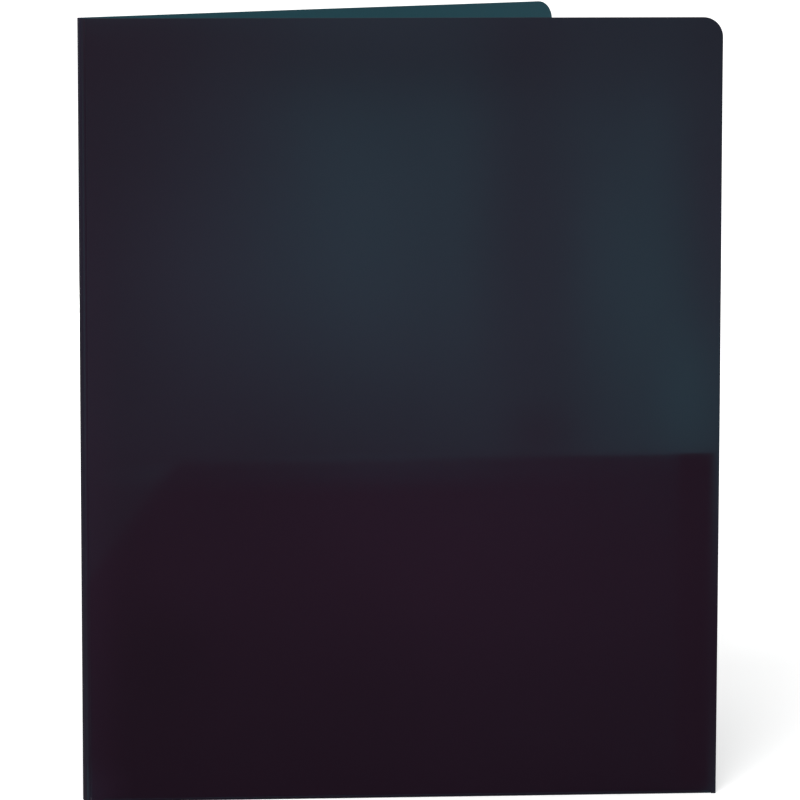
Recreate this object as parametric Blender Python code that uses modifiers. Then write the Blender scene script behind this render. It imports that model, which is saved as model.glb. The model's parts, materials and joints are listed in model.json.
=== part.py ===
"""A translucent plastic file folder with two pockets, standing slightly open on its bottom edge.

The real folder is one die-cut plastic sheet. Two vertical score lines make the spine between them,
and a cover hangs on each. Along the bottom of each cover the sheet turns up through a crease into a
pocket, and a narrow tab on the pocket's outer edge turns in behind it and is spot-welded to the cover.
Each flat panel, each crease and each weld is a piece of its own here.

World axes: +Z is up, the front cover lies along +X from the spine and faces -Y. Lengths are in metres.
"""

from math import cos, pi, radians, sin, tan

import bpy
from mathutils import Vector

# Sheet
SHEET = 0.0006  # thickness of the plastic
GAP = 0.0003  # room between two neighbouring pieces

# Covers and spine
COVER_WIDTH = 0.2413  # score line to free edge
COVER_HEIGHT = 0.2985
COVER_CORNER_RADIUS = 0.0075
SPINE_WIDTH = 0.0064  # between the two score lines
SCORE_WIDTH = 0.0014  # thinned strip that bends
SCORE_THICKNESS = 0.00025
SCORE_END_MARGIN = 0.0005  # the thinned strip stops short of the sheet's ends
OPENING_ANGLE = radians(37)  # between the covers as the folder stands

# Pockets
POCKET_HEIGHT = 0.133
POCKET_INNER_MARGIN = 0.0058  # score line to the pocket's inner edge
POCKET_OUTER_MARGIN = 0.0012  # side crease to the cover's free edge
POCKET_CUT_WIDTH = 0.036  # slanted inner corner
POCKET_CUT_HEIGHT = 0.048
POCKET_CUT_RADIUS = 0.006

# Welded tabs
TAB_WIDTH = 0.0145
TAB_SLOPE_WIDTH = 0.006  # the tab's upper inner corner drops a little
TAB_SLOPE_HEIGHT = 0.002
TAB_RELIEF = 0.002  # the tab starts this far above the bottom crease
TAB_FOOT_CHAMFER = 0.004
WELD_RADIUS = 0.002
WELDS_PER_TAB = 4
WELD_PRESS = 0.0001  # the welding tip leaves the spot this much thinner than the tab

# Smoothness of round stretches
CORNER_STEPS = 8
CREASE_STEPS = 8
WELD_SIDES = 32

# What follows from the sizes above. Offsets are measured from a cover's middle plane towards its pocket.
TAB_OFFSET = SHEET + GAP
POCKET_OFFSET = 2 * TAB_OFFSET
BOTTOM_CREASE_RADIUS = POCKET_OFFSET / 2
SIDE_CREASE_RADIUS = (POCKET_OFFSET - TAB_OFFSET) / 2
BOTTOM_CREASE_HEIGHT = BOTTOM_CREASE_RADIUS + SHEET / 2
PANEL_FOOT = BOTTOM_CREASE_HEIGHT + GAP
SCORE_REACH = SCORE_WIDTH / 2 + GAP  # from a score line to the flat panel beside it
SIDE_CREASE_X = COVER_WIDTH - POCKET_OUTER_MARGIN - SIDE_CREASE_RADIUS - SHEET / 2
POCKET_OUTER_X = SIDE_CREASE_X - GAP
TAB_INNER_X = COVER_WIDTH - POCKET_OUTER_MARGIN - TAB_WIDTH
TAB_FOOT = PANEL_FOOT + TAB_RELIEF
WELD_X = (TAB_INNER_X + POCKET_OUTER_X) / 2

COVER_COLOUR = (0.017, 0.019, 0.028, 1.0)
POCKET_COLOUR = (0.014, 0.012, 0.019, 1.0)
WELD_COLOUR = (0.011, 0.010, 0.015, 1.0)

FRONT = 1  # a cover's pocket lies on its +Y side
BACK = -1


def clear_scene():
    for thing in list(bpy.data.objects):
        bpy.data.objects.remove(thing)


def plastic(name, colour):
    """Smooth, slightly frosted plastic of one colour."""
    material = bpy.data.materials.new(name)
    material.use_nodes = True
    shader = material.node_tree.nodes["Principled BSDF"]
    shader.inputs["Base Color"].default_value = colour
    shader.inputs["Roughness"].default_value = 0.45
    shader.inputs["Metallic"].default_value = 0.0
    return material


def add_empty(name, collection, parent=None, location=(0, 0, 0), turn=0.0):
    """An empty that stands on a vertical axis and turns everything that hangs on it."""
    empty = bpy.data.objects.new(name, None)
    collection.objects.link(empty)
    empty.parent = parent
    empty.location = location
    empty.rotation_euler.z = turn
    return empty


def finish_piece(piece, collection, parent, colour):
    """Put a piece into the collection, hang it on its axis and give it its own plastic."""
    for home in list(piece.users_collection):
        home.objects.unlink(piece)
    collection.objects.link(piece)
    piece.parent = parent
    piece.data.materials.append(plastic(piece.name + "_plastic", colour))
    return piece


def rounded(corners):
    """The outline through (x, z, radius) corners, with an arc at each corner that has a radius."""
    points = []
    for index, (x, z, radius) in enumerate(corners):
        here = Vector((x, z))
        if radius == 0:
            points.append(here)
            continue
        before = (Vector(corners[index - 1][:2]) - here).normalized()
        after = (Vector(corners[(index + 1) % len(corners)][:2]) - here).normalized()
        half_angle = before.angle(after) / 2
        centre = here + (before + after).normalized() * (radius / sin(half_angle))
        start = here + before * (radius / tan(half_angle)) - centre
        turn = start.angle_signed(here + after * (radius / tan(half_angle)) - centre)
        for step in range(CORNER_STEPS + 1):
            angle = -turn * step / CORNER_STEPS
            spoke = Vector(
                (start.x * cos(angle) - start.y * sin(angle), start.x * sin(angle) + start.y * cos(angle))
            )
            points.append(centre + spoke)
    return points


def circle(x, z, radius):
    return [
        Vector((x + radius * cos(2 * pi * step / WELD_SIDES), z + radius * sin(2 * pi * step / WELD_SIDES)))
        for step in range(WELD_SIDES)
    ]


def flat_panel(name, loops, offset):
    """A flat piece of sheet in the upright X-Z plane. Loops after the first one are holes."""
    curve = bpy.data.curves.new(name, "CURVE")
    curve.dimensions = "2D"
    curve.fill_mode = "BOTH"
    curve.extrude = SHEET / 2
    curve.resolution_u = 1
    for loop in loops:
        spline = curve.splines.new("POLY")
        spline.points.add(len(loop) - 1)
        for point, (x, z) in zip(spline.points, loop):
            point.co = (x, z, 0, 1)
        spline.use_cyclic_u = True
    panel = bpy.data.objects.new(name, curve)
    panel.rotation_euler.x = pi / 2
    panel.location.y = offset
    return panel


def crease(name, axis, start, end, location, turn):
    """A half-round bend: the line from start to end, turned about an axis through location."""
    mesh = bpy.data.meshes.new(name)
    mesh.from_pydata([start, end], [(0, 1)], [])
    bend = bpy.data.objects.new(name, mesh)
    bend.location = location
    screw = bend.modifiers.new("bend", "SCREW")
    screw.axis = axis
    screw.angle = turn
    screw.steps = CREASE_STEPS
    screw.render_steps = CREASE_STEPS
    screw.use_smooth_shade = True
    wall = bend.modifiers.new("wall", "SOLIDIFY")
    wall.thickness = SHEET
    wall.offset = 0
    return bend


def score_line(name, turn):
    """The thinned strip that lets one panel turn against the next, centred on its axis."""
    height = COVER_HEIGHT - 2 * SCORE_END_MARGIN
    bpy.ops.mesh.primitive_cube_add(size=1, location=(0, 0, 0))
    strip = bpy.context.object
    strip.name = name
    strip.scale = (SCORE_WIDTH, SCORE_THICKNESS, height)
    bpy.ops.object.transform_apply(location=False, rotation=False, scale=True)
    strip.location.z = COVER_HEIGHT / 2
    strip.rotation_euler.z = turn
    return strip


def cover_outline():
    """The cover from its score line outwards. Its foot steps up over the bottom crease."""
    left, right, top = SCORE_REACH, COVER_WIDTH, COVER_HEIGHT
    notch_left, notch_right = POCKET_INNER_MARGIN - GAP, POCKET_OUTER_X + GAP
    return rounded(
        [
            (left, 0, 0),
            (notch_left, 0, 0),
            (notch_left, PANEL_FOOT, 0),
            (notch_right, PANEL_FOOT, 0),
            (notch_right, 0, 0),
            (right, 0, 0),
            (right, top, COVER_CORNER_RADIUS),
            (left, top, 0),
        ]
    )


def pocket_outline():
    left, right, top = POCKET_INNER_MARGIN, POCKET_OUTER_X, POCKET_HEIGHT
    return rounded(
        [
            (left, PANEL_FOOT, 0),
            (right, PANEL_FOOT, 0),
            (right, top, 0),
            (left + POCKET_CUT_WIDTH, top, POCKET_CUT_RADIUS),
            (left, top - POCKET_CUT_HEIGHT, POCKET_CUT_RADIUS),
        ]
    )


def tab_outline():
    left, right, top = TAB_INNER_X, POCKET_OUTER_X, POCKET_HEIGHT
    return rounded(
        [
            (left, TAB_FOOT + TAB_FOOT_CHAMFER, 0),
            (left + TAB_FOOT_CHAMFER, TAB_FOOT, 0),
            (right, TAB_FOOT, 0),
            (right, top, 0),
            (left + TAB_SLOPE_WIDTH, top, 0),
            (left, top - TAB_SLOPE_HEIGHT, 0),
        ]
    )


def weld_heights():
    """Evenly spaced up the tab, half a pitch in from its ends."""
    pitch = (POCKET_HEIGHT - TAB_FOOT) / WELDS_PER_TAB
    return [TAB_FOOT + pitch * (index + 0.5) for index in range(WELDS_PER_TAB)]


def weld_spot(name, side, height):
    """The fused disc that fills a hole in the tab, pressed slightly below its face."""
    depth = SHEET - WELD_PRESS
    bpy.ops.mesh.primitive_cylinder_add(vertices=WELD_SIDES, radius=WELD_RADIUS, depth=depth)
    spot = bpy.context.object
    spot.name = name
    spot.rotation_euler.x = pi / 2
    spot.location = (WELD_X, side * (TAB_OFFSET - WELD_PRESS / 2), height)
    spot.data.set_sharp_from_angle(angle=radians(30))
    return spot


def build_cover(name, side, collection, axis):
    """A cover with its pocket. side tells which way the pocket lies from the cover."""
    prefix = name.split("_")[0]

    def add(piece, colour):
        finish_piece(piece, collection, axis, colour)

    add(flat_panel(name, [cover_outline()], 0), COVER_COLOUR)

    crease_y = side * POCKET_OFFSET / 2
    bottom = crease(
        prefix + "_pocket_bottom_crease",
        "X",
        (POCKET_INNER_MARGIN, -side * BOTTOM_CREASE_RADIUS, 0),
        (POCKET_OUTER_X, -side * BOTTOM_CREASE_RADIUS, 0),
        (0, crease_y, BOTTOM_CREASE_HEIGHT),
        side * pi,
    )
    add(bottom, POCKET_COLOUR)

    pocket = flat_panel(prefix + "_pocket", [pocket_outline()], side * POCKET_OFFSET)
    add(pocket, POCKET_COLOUR)

    side_y = side * (POCKET_OFFSET + TAB_OFFSET) / 2
    edge = crease(
        prefix + "_pocket_side_crease",
        "Z",
        (0, side * SIDE_CREASE_RADIUS, TAB_FOOT),
        (0, side * SIDE_CREASE_RADIUS, POCKET_HEIGHT),
        (SIDE_CREASE_X, side_y, 0),
        -side * pi,
    )
    add(edge, POCKET_COLOUR)

    heights = weld_heights()
    holes = [circle(WELD_X, height, WELD_RADIUS + GAP) for height in heights]
    tab = flat_panel(prefix + "_pocket_tab", [tab_outline()] + holes, side * TAB_OFFSET)
    add(tab, POCKET_COLOUR)

    for number, height in enumerate(heights, start=1):
        spot = weld_spot(f"{prefix}_weld_{number}", side, height)
        add(spot, WELD_COLOUR)


def build_spine(collection, spine_axis, strip_turn):
    """The spine panel with the thinned strip at each of its two edges, half turned to the cover there."""
    left, right = SCORE_REACH, SPINE_WIDTH - SCORE_REACH
    outline = rounded([(left, 0, 0), (right, 0, 0), (right, COVER_HEIGHT, 0), (left, COVER_HEIGHT, 0)])
    finish_piece(flat_panel("spine", [outline], 0), collection, spine_axis, COVER_COLOUR)

    back = score_line("back_score_line", -strip_turn)
    finish_piece(back, collection, spine_axis, COVER_COLOUR)

    front = score_line("front_score_line", strip_turn)
    front.location.x = SPINE_WIDTH
    finish_piece(front, collection, spine_axis, COVER_COLOUR)


def bounds(collection):
    """Lowest and highest corner of all the pieces, as they stand in the world."""
    bpy.context.view_layer.update()
    depsgraph = bpy.context.evaluated_depsgraph_get()
    corners = []
    for piece in collection.objects:
        if piece.type == "EMPTY":
            continue
        shown = piece.evaluated_get(depsgraph)
        mesh = shown.to_mesh()
        corners.extend(shown.matrix_world @ vertex.co for vertex in mesh.vertices)
        shown.to_mesh_clear()
    low = Vector([min(corner[axis] for corner in corners) for axis in range(3)])
    high = Vector([max(corner[axis] for corner in corners) for axis in range(3)])
    return low, high


def tell(words, point):
    print(f"{words}: {point.x:.6f} {point.y:.6f} {point.z:.6f}")


def main():
    clear_scene()
    collection = bpy.data.collections.new("plastic_file_folder")
    bpy.context.scene.collection.children.link(collection)

    # Seen from above, the spine runs from the back score line to the front one. It stands square to
    # the line that halves the opening, so it meets both covers at the same angle.
    half_opening = OPENING_ANGLE / 2
    spine_turn = half_opening - pi / 2
    root = add_empty("folder", collection)
    back_axis = add_empty("back_score_axis", collection, root, turn=OPENING_ANGLE)
    spine_axis = add_empty("spine_axis", collection, root, turn=spine_turn)
    front_place = (SPINE_WIDTH * cos(spine_turn), SPINE_WIDTH * sin(spine_turn), 0)
    front_axis = add_empty("front_score_axis", collection, root, front_place)

    build_cover("front_cover", FRONT, collection, front_axis)
    build_cover("back_cover", BACK, collection, back_axis)
    build_spine(collection, spine_axis, (pi / 2 - half_opening) / 2)

    low, high = bounds(collection)
    root.location = (-(low.x + high.x) / 2, -(low.y + high.y) / 2, -low.z)
    bpy.context.view_layer.update()

    tell("size", high - low)
    tell("back score line", back_axis.matrix_world.translation)
    tell("front score line", front_axis.matrix_world.translation)
    face = Vector((COVER_WIDTH / 2, 0, COVER_HEIGHT / 2))
    tell("front cover's outer face", front_axis.matrix_world @ (face - Vector((0, FRONT * SHEET / 2, 0))))
    tell("back cover's outer face", back_axis.matrix_world @ (face - Vector((0, BACK * SHEET / 2, 0))))
    middle = Vector((SPINE_WIDTH / 2, -SHEET / 2, COVER_HEIGHT / 2))
    tell("spine's outer face", spine_axis.matrix_world @ middle)
    stack = SHEET + POCKET_OFFSET
    print(f"room between the closed covers' pockets: {SPINE_WIDTH - 2 * (stack - SHEET / 2):.6f}")


main()
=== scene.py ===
# %% [markdown]
# # A translucent plastic folder, dressed for its picture
#
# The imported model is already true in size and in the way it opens. This lesson gives it the looks:
# sheet with soft cut edges, folds that run round without a break, hinges that bend, and a smoky
# plastic that lets a little light through. The real folder is one sheet, cut, scored, folded and
# spot-welded, so each piece here is started as a flat sheet too and then folded.

import json
from math import cos, pi, radians, sin, tan

import bmesh
import bpy
from mathutils import Matrix, Vector

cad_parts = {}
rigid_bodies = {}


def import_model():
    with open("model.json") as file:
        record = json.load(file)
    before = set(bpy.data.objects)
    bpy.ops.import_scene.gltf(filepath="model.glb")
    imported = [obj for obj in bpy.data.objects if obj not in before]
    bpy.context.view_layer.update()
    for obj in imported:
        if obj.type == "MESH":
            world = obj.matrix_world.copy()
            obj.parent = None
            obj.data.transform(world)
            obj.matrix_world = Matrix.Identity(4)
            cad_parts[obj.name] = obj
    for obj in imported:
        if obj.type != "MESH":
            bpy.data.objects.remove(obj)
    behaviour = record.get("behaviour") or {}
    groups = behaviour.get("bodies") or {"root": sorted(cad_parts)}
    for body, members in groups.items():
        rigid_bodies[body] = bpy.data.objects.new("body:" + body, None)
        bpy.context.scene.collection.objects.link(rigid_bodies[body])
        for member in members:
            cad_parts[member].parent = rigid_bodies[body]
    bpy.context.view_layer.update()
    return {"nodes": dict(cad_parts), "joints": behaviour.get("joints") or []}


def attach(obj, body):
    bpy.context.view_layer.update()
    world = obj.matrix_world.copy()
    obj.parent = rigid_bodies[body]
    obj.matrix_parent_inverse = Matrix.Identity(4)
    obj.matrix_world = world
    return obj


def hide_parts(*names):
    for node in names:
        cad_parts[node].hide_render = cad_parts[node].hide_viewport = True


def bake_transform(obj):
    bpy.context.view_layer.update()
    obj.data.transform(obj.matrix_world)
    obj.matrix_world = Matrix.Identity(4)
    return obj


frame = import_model()

# %% [markdown]
# ## Where things are
# Both covers turn about a score line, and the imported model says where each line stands. All the
# new sheet is modelled beside a score line at the origin: x runs along the cover to its free edge,
# y points inwards to the pocket, z is up. It is moved into place at the end. The back cover is the
# same cover, mirrored and turned by the opening angle.

# %% Score lines and the sizes of the sheet
hinge_place = {joint["name"]: Vector(joint["pos_m"]) for joint in frame["joints"]}
FRONT_SCORE = hinge_place["front_score_hinge"].xy.to_3d()
BACK_SCORE = hinge_place["back_score_hinge"].xy.to_3d()
OPENING = radians(37)
BEND = pi / 2 - OPENING / 2  # the sheet turns this much at each score line

SHEET = 0.0006
COVER_WIDTH, COVER_HEIGHT = 0.2413, 0.2985
CORNER_RADIUS, CORNER_STEPS = 0.0075, 12
SCORE_REACH = 0.001  # from a score line to the full thickness beside it
FOLD_LEFT, FOLD_RIGHT = 0.00578, 0.23937  # where the cover's foot turns up into the pocket
FOLD_HEIGHT = 0.0012  # the bottom fold's axis
TOUCH = 0.00002  # two sheets that meet stay this far apart
print("score lines are", round((FRONT_SCORE - BACK_SCORE).length * 1000, 2), "mm apart")

# %% [markdown]
# ## A few small helpers
# An operator works on whatever is selected, so every step starts by choosing. `only` makes one
# object the active one and opens it in edit mode. `pick` then selects vertices, edges or faces by
# asking a question about their points, which does by number what a click does by eye. `copy_of`
# duplicates a piece with a mesh of its own, so that the copy can be moved and baked by itself.


# %% Choosing an object, and choosing parts of it
def only(piece, mode="EDIT"):
    if bpy.context.object and bpy.context.object.mode != "OBJECT":
        bpy.ops.object.mode_set(mode="OBJECT")
    for other in bpy.context.view_layer.objects:
        other.select_set(False)
    piece.select_set(True)
    bpy.context.view_layer.objects.active = piece
    if mode == "EDIT":
        bpy.ops.object.mode_set(mode="EDIT")


def pick(kind, test):
    """kind is VERT, EDGE or FACE. Returns how many were selected."""
    bpy.ops.mesh.select_mode(type=kind)
    bpy.ops.mesh.select_all(action="DESELECT")
    mesh = bmesh.from_edit_mesh(bpy.context.object.data)
    parts = {"VERT": mesh.verts, "EDGE": mesh.edges, "FACE": mesh.faces}[kind]
    chosen = 0
    for part in parts:
        points = [part.co] if kind == "VERT" else [vertex.co for vertex in part.verts]
        if all(test(point) for point in points):
            part.select_set(True)
            chosen += 1
    bmesh.update_edit_mesh(bpy.context.object.data)
    return chosen


def done(piece):
    bpy.ops.object.mode_set(mode="OBJECT")
    print(piece.name, len(piece.data.polygons), "faces")
    return piece


def copy_of(piece, name, move=(0, 0, 0)):
    only(piece, mode="OBJECT")
    bpy.ops.object.duplicate(linked=False)
    twin = bpy.context.object
    twin.name = name
    only(twin)
    bpy.ops.mesh.select_all(action="SELECT")
    bpy.ops.transform.translate(value=move)
    bpy.ops.object.mode_set(mode="OBJECT")
    return twin


# %% [markdown]
# ## The cover's sheet
# A cover is a flat rectangle with one rounded corner. A plane is enough to start with: it is scaled
# to size in edit mode, and bevelling one corner's vertex turns it into the arc that the cutting
# die leaves. The corner at the foot stays square.


# %% A plane at the cover's size, with its rounded corner
def upright_plane(name, left, right, foot, top, depth):
    """A plane that stands in the X-Z plane at y = depth, facing -Y."""
    middle = ((left + right) / 2, depth, (foot + top) / 2)
    bpy.ops.mesh.primitive_plane_add(size=1, location=(0, 0, 0), rotation=(0, 0, 0))
    piece = bpy.context.object
    piece.name = name
    only(piece)
    bpy.ops.mesh.select_all(action="SELECT")
    bpy.ops.transform.rotate(value=-pi / 2, orient_axis="X", center_override=(0, 0, 0))
    bpy.ops.transform.resize(value=(right - left, 1, top - foot), center_override=(0, 0, 0))
    bpy.ops.transform.translate(value=middle)
    return piece


cover = upright_plane("front_cover_sheet", SCORE_REACH, COVER_WIDTH, 0, COVER_HEIGHT, 0)
pick("VERT", lambda p: p.x > COVER_WIDTH - SHEET and p.z > COVER_HEIGHT - SHEET)
bpy.ops.mesh.bevel(
    offset=CORNER_RADIUS, offset_type="OFFSET", segments=CORNER_STEPS, affect="VERTICES"
)
done(cover)

# %% [markdown]
# The foot of the sheet turns up into the pocket, except for a short stub at each end. Three
# straight cuts mark out that stretch, and the strip below the fold is deleted: it belongs to the
# pocket's piece. Bisect is a knife that follows a plane, and it cuts only what is selected.


# %% Cutting the foot away where the sheet folds up
def cut(place, normal, test=None, **settings):
    """Cuts along a plane, through everything or only through the faces that pass the test."""
    if test is None:
        bpy.ops.mesh.select_mode(type="FACE")
        bpy.ops.mesh.select_all(action="SELECT")
    else:
        pick("FACE", test)
    bpy.ops.mesh.bisect(plane_co=place, plane_no=normal, **settings)


only(cover)
for x in (FOLD_LEFT, FOLD_RIGHT):
    cut((x, 0, 0), (1, 0, 0))
cut((0, 0, FOLD_HEIGHT + TOUCH), (0, 0, 1))
slack = SHEET / 10


def below_fold(p):
    return FOLD_LEFT - slack < p.x < FOLD_RIGHT + slack and p.z < FOLD_HEIGHT + slack


print("faces cut away:", pick("FACE", below_fold))
bpy.ops.mesh.delete(type="FACE")
done(cover)

# %% [markdown]
# Thin sheet never stays quite flat. The upper free corner is held by nothing, so it curls in a
# little. Proportional editing does this as a hand would: pull the corner, and the sheet around it
# follows softly. It needs points to move, so the sheet is first cut into a grid.

# %% A grid for the curl, then the curl
CELL = 0.012
CURL, CURL_REACH = 0.0025, 0.165


def cut_grid(left, right, foot, top):
    for count, low, high, normal in (
        (round((right - left) / CELL), left, right, (1, 0, 0)),
        (round((top - foot) / CELL), foot, top, (0, 0, 1)),
    ):
        for step in range(1, count):
            at = low + (high - low) * step / count
            cut(Vector(normal) * at, normal)


only(cover)
cut_grid(FOLD_LEFT, FOLD_RIGHT, FOLD_HEIGHT, COVER_HEIGHT - CORNER_RADIUS)
inside_corner = CORNER_RADIUS / 2
pick("VERT", lambda p: p.x > COVER_WIDTH - inside_corner and p.z > COVER_HEIGHT - inside_corner)
bpy.ops.transform.translate(
    value=(0, CURL, 0),
    use_proportional_edit=True,
    proportional_edit_falloff="SMOOTH",
    proportional_size=CURL_REACH,
)
done(cover)
print("curl reaches", round(max(v.co.y for v in cover.data.vertices) * 1000, 2), "mm")

# %% [markdown]
# So far the sheet has no thickness. Solidify gives it 0.6 mm, half to each side. A bevel then takes
# the sharpness off the cut edges, as the die does on the real sheet. A real edge is never a perfect
# corner, and without the bevel it wouldn't catch any light.

# %% Thickness and soft edges
EDGE_SOFTNESS, EDGE_STEPS = 0.00013, 2
SHARP_TURN = radians(50)  # edges that turn by more are bevelled
SMOOTH_TURN = radians(35)  # edges that turn by less are shaded smooth


def modify(piece, kind, **settings):
    """Adds a modifier, sets it up and applies it."""
    only(piece, mode="OBJECT")
    modifier = piece.modifiers.new(kind.lower(), kind)
    for name, value in settings.items():
        setattr(modifier, name, value)
    bpy.ops.object.modifier_apply(modifier=modifier.name)


def thicken(piece, **settings):
    modify(piece, "SOLIDIFY", thickness=SHEET, offset=0, use_even_offset=True, **settings)


def soften(piece, width=EDGE_SOFTNESS):
    modify(
        piece,
        "BEVEL",
        width=width,
        segments=EDGE_STEPS,
        limit_method="ANGLE",
        angle_limit=SHARP_TURN,
    )
    only(piece)
    bpy.ops.mesh.select_all(action="SELECT")
    bpy.ops.mesh.normals_make_consistent(inside=False)
    bpy.ops.object.mode_set(mode="OBJECT")
    bpy.ops.object.shade_smooth_by_angle(angle=SMOOTH_TURN)
    print(piece.name, "finished with", len(piece.data.polygons), "faces")


thicken(cover)
soften(cover)

# %% [markdown]
# ## The pocket
# The pocket is the same sheet, turned up twice: once along the foot, and once along the outer
# edge, where a narrow tab goes in behind it and is welded to the cover. Its inner corner is cut on
# a slant so that papers slide in. The panel is a plane again, the slant is a cut that throws one
# side away, and both ends of the slant are rounded.

# %% The pocket's panel
POCKET_LEFT, POCKET_RIGHT, POCKET_TOP = 0.0058, 0.23935, 0.133
SLANT_WIDTH, SLANT_HEIGHT = 0.036, 0.048
SLANT_RADIUS, SLANT_STEPS = 0.006, 8
POCKET_DEPTH, TAB_DEPTH = 0.0018, 0.0009  # from the cover's middle to theirs
TAB_FOOT = 0.0035

pocket = upright_plane(
    "front_pocket_fold", POCKET_LEFT, POCKET_RIGHT, FOLD_HEIGHT, POCKET_TOP, POCKET_DEPTH
)
slant_end = Vector((POCKET_LEFT + SLANT_WIDTH, 0, POCKET_TOP))
cut(slant_end, (-SLANT_HEIGHT, 0, SLANT_WIDTH), clear_outer=True)
slant_middle = slant_end - Vector((SLANT_WIDTH, 0, SLANT_HEIGHT)) / 2
slant_search = SLANT_HEIGHT * 0.7  # the slant's ends are nearer to its middle than this
near_slant = lambda p: (Vector((p.x, 0, p.z)) - slant_middle).length < slant_search
print("corners to round:", pick("VERT", near_slant))
bpy.ops.mesh.bevel(
    offset=SLANT_RADIUS / 2, offset_type="OFFSET", segments=SLANT_STEPS, affect="VERTICES"
)
cut((0, 0, TAB_FOOT), (0, 0, 1))
done(pocket)

# %% [markdown]
# Spin turns an edge about an axis and leaves faces behind it, which is just what a fold is. The
# bottom edge goes half a turn down to the cover's foot. The outer edge goes half a turn in behind
# the panel, and extruding it gives the tab.

# %% Both folds and the tab
BOTTOM_RADIUS = POCKET_DEPTH / 2
BOTTOM_STEPS, SIDE_STEPS = 12, 10
SIDE_AXIS = (POCKET_RIGHT, (POCKET_DEPTH + TAB_DEPTH) / 2, 0)
TAB_LEFT = 0.2256

only(pocket)
pick("EDGE", lambda p: p.z < FOLD_HEIGHT + slack)
bottom_axis = (0, BOTTOM_RADIUS, FOLD_HEIGHT)
bpy.ops.mesh.spin(steps=BOTTOM_STEPS, angle=pi, center=bottom_axis, axis=(1, 0, 0))
pick("EDGE", lambda p: p.x > POCKET_RIGHT - slack and p.z > TAB_FOOT - slack)
bpy.ops.mesh.spin(steps=SIDE_STEPS, angle=pi, center=SIDE_AXIS, axis=(0, 0, 1))
pick("EDGE", lambda p: abs(p.x - POCKET_RIGHT) < slack and abs(p.y - TAB_DEPTH) < slack)
tab_way = (TAB_LEFT - POCKET_RIGHT, 0, 0)
bpy.ops.mesh.extrude_edges_move(TRANSFORM_OT_translate={"value": tab_way})
done(pocket)
for axis, name in enumerate("xyz"):
    values = [vertex.co[axis] * 1000 for vertex in pocket.data.vertices]
    print(name, "from", round(min(values), 2), "to", round(max(values), 2), "mm")

# %% [markdown]
# The tab's free corners are trimmed so that they don't catch the paper. The panel then gets its
# grid, and its mouth is eased open towards the slant, where nothing holds it. That gape is why the
# pocket's edge shows crisp near the welds and soft towards the spine. Only the front pocket gapes,
# because the two have to lie face to face when the folder is closed.

# %% Trimming the tab, and the pocket's mouth
TAB_RUN, TAB_DROP, TAB_CHAMFER = 0.006, 0.002, 0.004
FRONT_GAPE, BACK_GAPE, GAPE_REACH = 0.0019, 0.0001, 0.13
GAPE_END = 0.1  # the mouth is pulled only this far along, and the sheet beyond follows

only(pocket)
on_tab = lambda p: abs(p.y - TAB_DEPTH) < slack and p.z > TAB_FOOT - slack
cut((TAB_LEFT, 0, POCKET_TOP - TAB_DROP), (-TAB_DROP, 0, TAB_RUN), on_tab, clear_outer=True)
cut((TAB_LEFT + TAB_CHAMFER, 0, TAB_FOOT), (-1, 0, -1), on_tab, clear_outer=True)
cut_grid(POCKET_LEFT, POCKET_RIGHT, TAB_FOOT, POCKET_TOP)
done(pocket)
back_pocket = copy_of(pocket, "back_pocket_fold")


def at_mouth(p):
    return p.y > POCKET_DEPTH - slack and p.z > POCKET_TOP - slack and p.x < GAPE_END


for fold, gape in ((pocket, FRONT_GAPE), (back_pocket, BACK_GAPE)):
    only(fold)
    print("points pulled at the mouth:", pick("VERT", at_mouth))
    bpy.ops.transform.translate(
        value=(0, gape, 0),
        use_proportional_edit=True,
        proportional_edit_falloff="SMOOTH",
        proportional_size=GAPE_REACH,
    )
    done(fold)
    thicken(fold)

# %% [markdown]
# ## The welds
# A hot tip pressed the tab onto the cover in four places. Each spot is a small disc with a pressed
# middle and a raised rim where the plastic was pushed aside. One disc is modelled and copied. The
# tab needs a hole for each, cut by a Boolean with four joined cylinders.

# %% Cutting the tab's holes
WELD_RADIUS, WELD_ROOM, WELD_SIDES = 0.0022, 0.00005, 32
WELD_X, WELD_COUNT = 0.232325, 4
CUTTER_DEPTH = SHEET * 1.4  # longer than the sheet is thick, and short of the pocket's panel
weld_pitch = (POCKET_TOP - TAB_FOOT) / WELD_COUNT
WELD_HEIGHTS = [TAB_FOOT + weld_pitch * (number + 0.5) for number in range(WELD_COUNT)]

cutters = []
for height in WELD_HEIGHTS:
    bpy.ops.object.select_all(action="DESELECT")
    bpy.ops.mesh.primitive_cylinder_add(
        vertices=WELD_SIDES,
        radius=WELD_RADIUS + WELD_ROOM,
        depth=CUTTER_DEPTH,
        location=(WELD_X, TAB_DEPTH, height),
        rotation=(pi / 2, 0, 0),
    )
    cutters.append(bpy.context.object)
for cutter in cutters:
    cutter.select_set(True)
bpy.ops.object.join()
cutter = bpy.context.object
for fold in (pocket, back_pocket):
    modify(fold, "BOOLEAN", operation="DIFFERENCE", solver="EXACT", object=cutter)
    soften(fold)
bpy.data.objects.remove(cutter)

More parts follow.
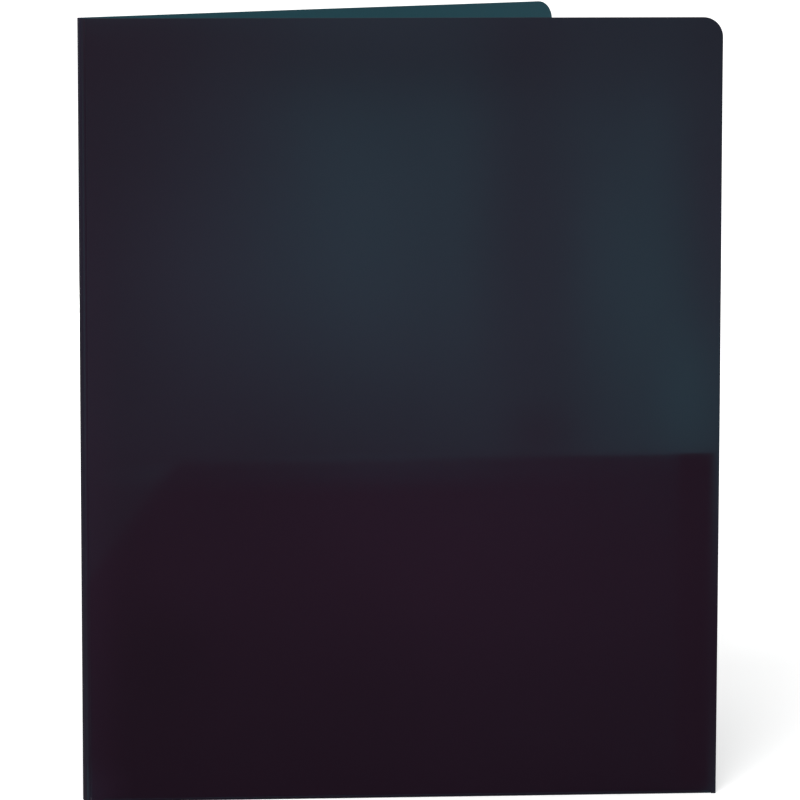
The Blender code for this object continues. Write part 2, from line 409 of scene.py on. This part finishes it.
# %% One weld spot
WELD_SINK = 0.00005  # the spot's rim stays this far below the tab's face
WELD_BOTTOM, WELD_TOP = SHEET / 2 + TOUCH, TAB_DEPTH + SHEET / 2 - WELD_SINK
WELD_SOFTNESS = 0.00007
RIM_WIDTH, RIM_DROP = WELD_RADIUS * 0.28, -SHEET * 0.2
DIMPLE_WIDTH, DIMPLE_RISE = WELD_RADIUS * 0.35, SHEET * 0.04
bpy.ops.object.select_all(action="DESELECT")
bpy.ops.mesh.primitive_cylinder_add(
    vertices=WELD_SIDES, radius=WELD_RADIUS, depth=WELD_TOP - WELD_BOTTOM
)
weld = bpy.context.object
weld.name = "front_weld_spot_1"
only(weld)
bpy.ops.mesh.select_all(action="SELECT")
bpy.ops.transform.rotate(value=pi / 2, orient_axis="X", center_override=(0, 0, 0))
bpy.ops.transform.translate(value=(WELD_X, (WELD_TOP + WELD_BOTTOM) / 2, WELD_HEIGHTS[0]))
pick("FACE", lambda p: p.y > WELD_TOP - slack)
bpy.ops.mesh.inset(thickness=RIM_WIDTH, depth=RIM_DROP)
bpy.ops.mesh.inset(thickness=DIMPLE_WIDTH, depth=DIMPLE_RISE)
done(weld)
soften(weld, width=WELD_SOFTNESS)

# %% [markdown]
# ## Copies for the other welds and for the back cover
# The back cover is the mirror image: scaling by -1 across the sheet turns the faces inside out, so
# they are flipped back before it is turned by the opening angle.


# %% Copying and placing
def place(piece, turn, score, mirrored=False):
    """Turns a piece about the upright axis at the origin and takes it to its score line."""
    only(piece)
    bpy.ops.mesh.select_all(action="SELECT")
    if mirrored:
        bpy.ops.transform.resize(value=(1, -1, 1), center_override=(0, 0, 0))
        bpy.ops.mesh.flip_normals()
    bpy.ops.transform.rotate(value=-turn, orient_axis="Z", center_override=(0, 0, 0))
    bpy.ops.transform.translate(value=score)
    bpy.ops.object.mode_set(mode="OBJECT")
    return piece


welds = [weld]
for number in range(2, 5):
    rise = WELD_HEIGHTS[number - 1] - WELD_HEIGHTS[0]
    welds.append(copy_of(weld, f"front_weld_spot_{number}", move=(0, 0, rise)))
front = [cover, pocket] + welds
back = []
for piece in front:
    twin = back_pocket if piece is pocket else copy_of(piece, piece.name.replace("front", "back"))
    back.append(place(twin, OPENING, BACK_SCORE, mirrored=True))
for piece in front:
    place(piece, 0, FRONT_SCORE)
print(len(front) + len(back), "pieces on the two covers")

# %% [markdown]
# ## The spine
# The spine is a narrow strip between the score lines. Scoring from the outside pushes it out by a
# trace, so it is crowned and not dead flat.

# %% Spine panel
SPINE_WIDTH = (FRONT_SCORE - BACK_SCORE).length
CROWN, SPINE_STEPS = 0.00012, 6
spine = upright_plane("spine_panel", SCORE_REACH, SPINE_WIDTH - SCORE_REACH, 0, COVER_HEIGHT, 0)
for step in range(1, SPINE_STEPS):
    x = SCORE_REACH + (SPINE_WIDTH - 2 * SCORE_REACH) * step / SPINE_STEPS
    cut((x, 0, 0), (1, 0, 0))
pick("VERT", lambda p: abs(p.x - SPINE_WIDTH / 2) < slack)
bpy.ops.transform.translate(
    value=(0, -CROWN, 0),
    use_proportional_edit=True,
    proportional_edit_falloff="SMOOTH",
    proportional_size=SPINE_WIDTH / 2 - SCORE_REACH,
)
done(spine)
thicken(spine)
soften(spine)
spine_turn = OPENING / 2 - pi / 2
place(spine, spine_turn, BACK_SCORE)

# %% [markdown]
# ## The score lines
# A score line is a living hinge: the same sheet, pressed thin so that it bends there. The strip
# starts with a narrow shoulder beside the cover, turns through the bend by a spin, and ends with a
# shoulder beside the spine. A vertex group tells Solidify where the sheet is thin.

# %% A score strip
SHOULDER, THIN_SHARE = 0.0002, 0.45
BEND_STEPS, STRIP_ROWS = 10, 8
STRIP_SOFTNESS = 0.00005
bend_start = SCORE_REACH - SHOULDER
bend_radius = bend_start / tan(BEND / 2)

strip = upright_plane("front_score_strip", bend_start, SCORE_REACH - TOUCH, 0, COVER_HEIGHT, 0)
pick("EDGE", lambda p: p.x < bend_start + slack)
bend_axis = (bend_start, bend_radius, 0)
bpy.ops.mesh.spin(steps=BEND_STEPS, angle=BEND, center=bend_axis, axis=(0, 0, 1))
spine_way = Vector((cos(pi - BEND), sin(pi - BEND), 0))
end_of_bend = spine_way * bend_start
pick("EDGE", lambda p: (Vector((p.x, p.y, 0)) - end_of_bend).length < slack)
shoulder_way = spine_way * (SHOULDER - TOUCH)
bpy.ops.mesh.extrude_edges_move(TRANSFORM_OT_translate={"value": shoulder_way})
for step in range(1, STRIP_ROWS):
    cut((0, 0, COVER_HEIGHT * step / STRIP_ROWS), (0, 0, 1))
done(strip)
points = sorted((round(v.co.x * 1000, 2), round(v.co.y * 1000, 2)) for v in strip.data.vertices)
print("strip's ends, in mm:", points[0], points[-1])

# %% Thin in the middle, full at the shoulders
strip.vertex_groups.new(name="thick")
only(strip)
at_shoulders = lambda p: max(p.x, p.dot(spine_way)) > bend_start - slack
print("points at full thickness:", pick("VERT", at_shoulders))
bpy.ops.object.vertex_group_assign()
done(strip)
thicken(strip, vertex_group="thick", thickness_vertex_group=THIN_SHARE)
soften(strip, width=STRIP_SOFTNESS)
strips = [strip, place(copy_of(strip, "back_score_strip"), OPENING, BACK_SCORE, True)]
place(strip, 0, FRONT_SCORE)

# %% [markdown]
# Smooth shading blends the normals of neighbouring faces. Beside a narrow bevel that would tilt the
# light across a whole broad face, as if the sheet were puffed up near its edges. Weighted Normal
# gives the broad faces their say, so that the sheet stays flat and only its edge is round.

# %% Flat faces that stay flat
for piece in front + back + [spine]:
    modify(piece, "WEIGHTED_NORMAL", mode="FACE_AREA", keep_sharp=True)
print("pieces with weighted normals:", len(front) + len(back) + 1)

# %% [markdown]
# ## What moves with what
# Each piece rides on the body whose CAD node it stands for. The score strips ride on no body:
# they keep the place where they were modelled, and their CAD score lines are hidden.

# %% Bodies and replaced nodes
for side, pieces in (("front", front), ("back", back)):
    for piece in pieces:
        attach(piece, f"{side}_cover_body")
    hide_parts(f"{side}_cover")
    folded = ("", "_bottom_crease", "_side_crease", "_tab")
    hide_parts(*[f"{side}_pocket{part}" for part in folded])
    for number, piece in enumerate(pieces[2:], start=1):
        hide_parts(f"{side}_weld_{number}")
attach(spine, "spine_body")
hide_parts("spine")

spine_to_front = (FRONT_SCORE - BACK_SCORE).normalized()
front_way, back_way = Vector((1, 0, 0)), Vector((cos(OPENING), sin(OPENING), 0))
for piece, score, cover_way, to_spine, side in (
    (strips[0], FRONT_SCORE, front_way, -spine_to_front, "front"),
    (strips[1], BACK_SCORE, back_way, spine_to_front, "back"),
):
    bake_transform(piece)
    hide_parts(f"{side}_score_line")
print("new pieces:", len(front) + len(back) + 3)

# %% [markdown]
# ## The plastic
# The sheet is smoke-coloured polypropylene. It does three things to light: it sends a little back
# from inside, dark and slightly purple, it lets a little through, spread out and bluish green, and
# its fine matte skin gives a faint broad gloss. So the shader is a Principled one for the first and
# the last, mixed with a Translucent one for what comes through.
#
# The sheet is a closed solid, and light that crosses it meets two faces. Only the face that is
# struck from outside spreads and tints it. The far face, met from inside, lets it pass. Otherwise
# every sheet would count twice.


# %% A node helper
def add(tree, kind, links=None, **values):
    """Adds a node. links feeds its inputs from other nodes' outputs, values sets plain numbers."""
    node = tree.nodes.new(kind)
    for name, value in values.items():
        if hasattr(node, name):
            setattr(node, name, value)
        else:
            node.inputs[name.replace("_", " ")].default_value = value
    for name, source in (links or {}).items():
        tree.links.new(source, node.inputs[name])
    return node


# %% [markdown]
# The look of the tint comes from three patterns on Object coordinates, in metres: a slow
# cloudiness of the pigment, a fine grain in the matte skin, and faint upright streaks from the
# rollers that the sheet came through. Soft oval areas of painted light and shade come on top:
# they brighten or darken the tint to stand in for light that falls on the sheet or comes through
# it. Each is a spherical gradient, centred and stretched by a Mapping node.


# %% Tinted sheet
CLOUD_SCALE, GRAIN_SCALE, STREAK_SCALE = 9.0, 1400.0, 220.0
STREAK_SQUEEZE = 0.02  # the streaks' pattern is squeezed along z, which draws them out
BOUNCE_SPREAD, THROUGH_SPREAD = 0.08, 0.05  # how far the cloudiness changes each tint
CLOUD_ENDS = (0.3, 0.7)
GRAIN_STRENGTH, GRAIN_DEPTH = 0.12, 0.0001
THROUGH_SHARE = 0.5


def paint_light_and_shade(tree, place_node, colour, areas):
    """Paints light and shade into a colour, scaled by 1 + gain at each oval's middle, fading to 1 at
    its rim.
    """
    for middle, size, gain in areas:
        centred = add(tree, "ShaderNodeMapping", {"Vector": place_node}, vector_type="TEXTURE")
        centred.inputs["Location"].default_value = middle
        centred.inputs["Scale"].default_value = size
        centred = centred.outputs["Vector"]
        ball = add(tree, "ShaderNodeTexGradient", {"Vector": centred}, gradient_type="SPHERICAL")
        ball = ball.outputs["Fac"]
        rise = add(tree, "ShaderNodeMapRange", {"Value": ball}, interpolation_type="SMOOTHSTEP")
        rise.inputs["To Min"].default_value = 1
        rise.inputs["To Max"].default_value = 1 + gain
        scale = {0: colour, "Scale": rise.outputs["Result"]}
        colour = add(tree, "ShaderNodeVectorMath", scale, operation="SCALE").outputs["Vector"]
    return colour


def tinted_sheet(name, bounce, through, bounce_painted_light=(), through_painted_light=(), rough=(0.40, 0.50), gloss=0.1):
    material = bpy.data.materials.new(name)
    material.use_nodes = True
    tree = material.node_tree
    tree.nodes.clear()
    place_node = add(tree, "ShaderNodeTexCoord").outputs["Object"]

    at = {"Vector": place_node}
    cloud = add(tree, "ShaderNodeTexNoise", at, Scale=CLOUD_SCALE, Detail=2.0, Roughness=0.4)
    grain = add(tree, "ShaderNodeTexNoise", at, Scale=GRAIN_SCALE, Detail=1.0)
    stretch = add(tree, "ShaderNodeMapping", at, Scale=(1, 1, STREAK_SQUEEZE))
    at = {"Vector": stretch.outputs["Vector"]}
    streak = add(tree, "ShaderNodeTexNoise", at, Scale=STREAK_SCALE, Detail=3.0)

    shades = []
    for colour, spread_of_tint in ((bounce, BOUNCE_SPREAD), (through, THROUGH_SPREAD)):
        ramp = add(tree, "ShaderNodeValToRGB", {"Fac": cloud.outputs["Fac"]})
        for element, position, side in zip(ramp.color_ramp.elements, CLOUD_ENDS, (-1, 1)):
            element.position = position
            element.color = (*[part * (1 + side * spread_of_tint) for part in colour], 1)
        shades.append(ramp.outputs["Color"])
    # The oval areas paint light and shade into what the sheet sends back and what it lets through.
    painted_bounce = paint_light_and_shade(tree, place_node, shades[0], bounce_painted_light)
    painted_through = paint_light_and_shade(tree, place_node, shades[1], through_painted_light)

    height = {"Height": grain.outputs["Fac"]}
    skin = add(tree, "ShaderNodeBump", height, Strength=GRAIN_STRENGTH, Distance=GRAIN_DEPTH)
    polish = add(tree, "ShaderNodeMapRange", {"Value": streak.outputs["Fac"]})
    polish.inputs["To Min"].default_value, polish.inputs["To Max"].default_value = rough
    looks = {
        "Base Color": painted_bounce,
        "Roughness": polish.outputs["Result"],
        "Normal": skin.outputs["Normal"],
    }
    surface = add(tree, "ShaderNodeBsdfPrincipled", looks)
    surface.inputs["Specular IOR Level"].default_value = gloss
    spread = add(tree, "ShaderNodeBsdfTranslucent", {"Color": painted_through})
    both_ways = {1: surface.outputs["BSDF"], 2: spread.outputs["BSDF"]}
    sheet = add(tree, "ShaderNodeMixShader", both_ways, Fac=THROUGH_SHARE)
    inside = add(tree, "ShaderNodeBsdfTransparent")
    met_from = add(tree, "ShaderNodeNewGeometry")
    faces = {
        "Fac": met_from.outputs["Backfacing"],
        1: sheet.outputs["Shader"],
        2: inside.outputs["BSDF"],
    }
    either = add(tree, "ShaderNodeMixShader", faces)
    add(tree, "ShaderNodeOutputMaterial", {"Surface": either.outputs["Shader"]})
    print(name, len(tree.nodes), "nodes")
    return material


# %% The finishes
BOUNCE, THROUGH = (0.0204, 0.0070, 0.0190), (0.0170, 0.0950, 0.1150)
# The back cover's copy of the same plastic is a touch less red, sent back and let through: a painted
# shade that dims the red of the light coming through it.
BACK_BOUNCE, BACK_THROUGH = (0.0175, 0.0070, 0.0190), (0.0120, 0.0950, 0.1150)
# Painted shade: the front cover's copy of the plastic is made darker and lets less through, and its
# painted light areas below bring it back up in places.
FRONT_THROUGH_SHADE, FRONT_BOUNCE_SHADE = 0.48, 0.87  # the front cover's share of each, away from its soft areas
FRONT_Y = -0.0755  # the front cover's middle plane
FAR = 1  # a reach so long that the area has no end that way
# Each painted light or shade area has its middle, its reach along x, y and z, and how much it
# changes the tint there.
# Painted light and shade on what the front cover sends back: lighter over its middle and lower
# middle, in strips along the spine side, the top and the free edge, and in the foot's corner by the
# spine; a little darker low at the spine side.
FRONT_BOUNCE_PAINTED_LIGHT = (
    ((0, FRONT_Y, 0.165), (0.250, FAR, 0.170), 0.38),
    ((0.010, FRONT_Y, 0.090), (0.150, FAR, 0.055), 0.16),
    ((-0.120, FRONT_Y, 0), (0.018, FAR, 0.350), 0.30),
    ((-0.005, FRONT_Y, 0.2985), (0.080, FAR, 0.022), 0.15),
    ((0.120, FRONT_Y, 0.215), (0.015, FAR, 0.060), 0.14),
    ((-0.114, FRONT_Y, 0.004), (0.014, FAR, 0.016), 0.14),
    ((-0.089, FRONT_Y, 0.055), (0.030, FAR, 0.035), -0.12),
)
# Painted light and shade on what the front cover lets through: a bright oval over the middle of its
# upper half, patches beside it towards both edges, a bright band just below the pocket's mouth and a
# spot at the foot by the spine; darker along the top, in an upright band right of the middle, along
# the free edge and low at the spine side.
FRONT_THROUGH_PAINTED_LIGHT = (
    ((-0.008, FRONT_Y, 0.210), (0.110, 0.110, 0.115), 1.10),
    ((0.092, FRONT_Y, 0.186), (0.036, 0.036, 0.100), 0.62),
    ((-0.085, FRONT_Y, 0.190), (0.060, FAR, 0.085), 0.36),
    ((-0.030, FRONT_Y, 0.210), (0.045, FAR, 0.110), 0.20),
    ((0, FRONT_Y, 0.2985), (FAR, FAR, 0.045), -0.36),
    ((0.046, FRONT_Y, 0.230), (0.030, FAR, 0.130), -0.30),
    ((0.122, FRONT_Y, 0.250), (0.030, FAR, 0.100), -0.35),
    ((-0.105, FRONT_Y, 0.105), (0.040, FAR, 0.045), -0.35),
    ((0.122, FRONT_Y, 0.050), (0.011, FAR, 0.100), -0.95),
    ((-0.015, FRONT_Y, 0.1256), (0.115, FAR, 0.0093), 1.50),
    ((0.112, FRONT_Y, 0.150), (0.022, FAR, 0.045), 0.30),
    ((-0.005, FRONT_Y, 0.2985), (0.080, FAR, 0.022), 0.22),
    ((-0.100, FRONT_Y, 0.2985), (0.040, FAR, 0.040), -0.24),
    ((0.053, FRONT_Y, 0.141), (0.022, FAR, 0.018), -0.28),
    ((-0.114, FRONT_Y, 0.004), (0.014, FAR, 0.016), 1.30),
)
# Painted light: the pockets let more through near their mouths, where light comes in between pocket
# and cover.
POCKET_THROUGH_PAINTED_LIGHT = (((0, FRONT_Y, 0.133), (FAR, FAR, 0.050), 1.4),)
# Painted shade: the spine and the back score strip let far less through than the rest of the same
# sheet, which darkens them.
SPINE_THROUGH_SHADE = (0.005, 0.017, 0.034)  # the spine lets less through
SPINE_GLOSS = 0.04
WELD_ROUGH, WELD_GLOSS = (0.15, 0.3), 0.2  # the hot tip left the spots smooth

front_bounce = [part * FRONT_BOUNCE_SHADE for part in BOUNCE]
front_through = [part * FRONT_THROUGH_SHADE for part in THROUGH]
front_plastic = tinted_sheet(
    "smoke_sheet_front", front_bounce, front_through, FRONT_BOUNCE_PAINTED_LIGHT, FRONT_THROUGH_PAINTED_LIGHT
)
back_plastic = tinted_sheet("smoke_sheet_back", BACK_BOUNCE, BACK_THROUGH)
pocket_plastic = tinted_sheet("smoke_sheet_pocket", BOUNCE, THROUGH, through_painted_light=POCKET_THROUGH_PAINTED_LIGHT)
spine_plastic = tinted_sheet("smoke_sheet_spine", front_bounce, SPINE_THROUGH_SHADE, gloss=SPINE_GLOSS)
weld_plastic = tinted_sheet("smoke_weld", BOUNCE, front_through, rough=WELD_ROUGH, gloss=WELD_GLOSS)

for plastic, pieces in (
    (front_plastic, [front[0], strips[0]]),
    (back_plastic, back[:1]),
    (pocket_plastic, [front[1], back[1]]),
    (spine_plastic, [spine, strips[1]]),
    (weld_plastic, front[2:] + back[2:]),
):
    for piece in pieces:
        piece.data.materials.clear()
        piece.data.materials.append(plastic)
for node in frame["nodes"].values():
    node.data.materials.clear()
    node.data.materials.append(weld_plastic if "weld" in node.name else pocket_plastic)

# %% [markdown]
# ## Stage, light and camera
# A plain pale floor and a pale room give soft light from everywhere. A large lamp in front, at the
# left, gives it a direction. Two weaker ones, behind at the left and beside at the right, shine
# through the sheet. The room is plain white to the camera and to gloss, and dimmer as a light
# source, so that the object isn't flooded.

# %% Floor
FLOOR_SIZE, FLOOR_WHITE, FLOOR_GLOW, FLOOR_GLOW_NEAR = 40, 0.86, 1, 0.42
NEAR_REACH = 1.6  # the glow fades towards the object from this far off, so that its shadow shows

bpy.ops.object.select_all(action="DESELECT")
bpy.ops.mesh.primitive_plane_add(size=FLOOR_SIZE, location=(0, 0, 0))
floor = bpy.context.object
floor.name = "floor"
paper = bpy.data.materials.new("white_floor")
paper.use_nodes = True
tree = paper.node_tree
tree.nodes.clear()
matte = add(tree, "ShaderNodeBsdfDiffuse", Color=(FLOOR_WHITE, FLOOR_WHITE, FLOOR_WHITE, 1))
spot = add(tree, "ShaderNodeTexCoord").outputs["Object"]
reach = (NEAR_REACH, NEAR_REACH, NEAR_REACH)
centred = add(tree, "ShaderNodeMapping", {"Vector": spot}, vector_type="TEXTURE", Scale=reach)
centred = centred.outputs["Vector"]
near = add(tree, "ShaderNodeTexGradient", {"Vector": centred}, gradient_type="SPHERICAL")
level = add(tree, "ShaderNodeMapRange", {"Value": near.outputs["Fac"]})
level.inputs["To Min"].default_value = FLOOR_GLOW
level.inputs["To Max"].default_value = FLOOR_GLOW_NEAR
glow = add(tree, "ShaderNodeEmission", {"Strength": level.outputs["Result"]})
both = add(tree, "ShaderNodeAddShader", {0: matte.outputs["BSDF"], 1: glow.outputs["Emission"]})
path = add(tree, "ShaderNodeLightPath")
looks = {
    "Fac": path.outputs["Is Camera Ray"],
    1: matte.outputs["BSDF"],
    2: both.outputs["Shader"],
}
mix = add(tree, "ShaderNodeMixShader", looks)
add(tree, "ShaderNodeOutputMaterial", {"Surface": mix.outputs["Shader"]})
floor.data.materials.append(paper)

# %% Room
FRONT_SIDE, BACK_SIDE = 0.50, 0.16  # the room's light from before and from behind the object
world = bpy.data.worlds.new("studio")
bpy.context.scene.world = world
world.use_nodes = True
tree = world.node_tree
tree.nodes.clear()
path = add(tree, "ShaderNodeLightPath")
seen = path.outputs["Is Camera Ray"]
for ray in ("Is Glossy Ray", "Is Transmission Ray"):
    either = {0: seen, 1: path.outputs[ray]}
    seen = add(tree, "ShaderNodeMath", either, operation="MAXIMUM").outputs["Value"]
way = add(tree, "ShaderNodeTexCoord").outputs["Generated"]
depth = add(tree, "ShaderNodeSeparateXYZ", {"Vector": way}).outputs["Y"]
soft = add(tree, "ShaderNodeMapRange", {"Value": depth})
soft.inputs["From Min"].default_value = -1
soft.inputs["To Min"].default_value, soft.inputs["To Max"].default_value = FRONT_SIDE, BACK_SIDE
level = add(tree, "ShaderNodeMix", {"Factor": seen, "A": soft.outputs["Result"]}, B=1.0)
level = level.outputs["Result"]
light = add(tree, "ShaderNodeBackground", {"Strength": level}, Color=(1, 1, 1, 1))
add(tree, "ShaderNodeOutputWorld", {"Surface": light.outputs["Background"]})


# %% Lamps
def softbox(name, place, target, size, power):
    lamp = bpy.data.objects.new(name, bpy.data.lights.new(name, "AREA"))
    bpy.context.scene.collection.objects.link(lamp)
    lamp.data.shape = "DISK"
    lamp.data.size = size
    lamp.data.energy = power
    lamp.location = place
    lamp.rotation_euler = (Vector(target) - Vector(place)).to_track_quat("-Z", "Y").to_euler()
    return lamp


MIDDLE = (0, 0, 0.15)  # the lamps look at the object's middle
softbox("key_softbox", (-0.5, -1.5, 1.25), MIDDLE, size=1.0, power=28)
softbox("back_softbox", (-0.5, 1.7, 0.3), MIDDLE, size=0.7, power=7)
softbox("side_softbox", (1.8, 0.75, 0.6), MIDDLE, size=0.8, power=13)

# %% Camera
CAMERA_TARGET = Vector((-0.00055, -0.0758, 0.15399))
CAMERA_DISTANCE = 1.7
CAMERA_TURN, CAMERA_TILT, CAMERA_ROLL = radians(4.323), radians(7.514), radians(-0.107)
FOCAL_PIXELS, IMAGE_PIXELS, SENSOR_WIDTH = 4483.7, 800, 36
CLIP_END = 50

turn = (
    Matrix.Rotation(-CAMERA_TURN, 3, "Z")
    @ Matrix.Rotation(pi / 2 - CAMERA_TILT, 3, "X")
    @ Matrix.Rotation(-CAMERA_ROLL, 3, "Z")
)
camera = bpy.data.objects.new("camera", bpy.data.cameras.new("camera"))
bpy.context.scene.collection.objects.link(camera)
camera.location = CAMERA_TARGET + turn @ Vector((0, 0, CAMERA_DISTANCE))
camera.rotation_euler = turn.to_euler()
camera.data.sensor_width = SENSOR_WIDTH
camera.data.lens = FOCAL_PIXELS / IMAGE_PIXELS * SENSOR_WIDTH
camera.data.clip_end = CLIP_END
bpy.context.scene.camera = camera
bpy.context.scene.view_settings.view_transform = "Standard"
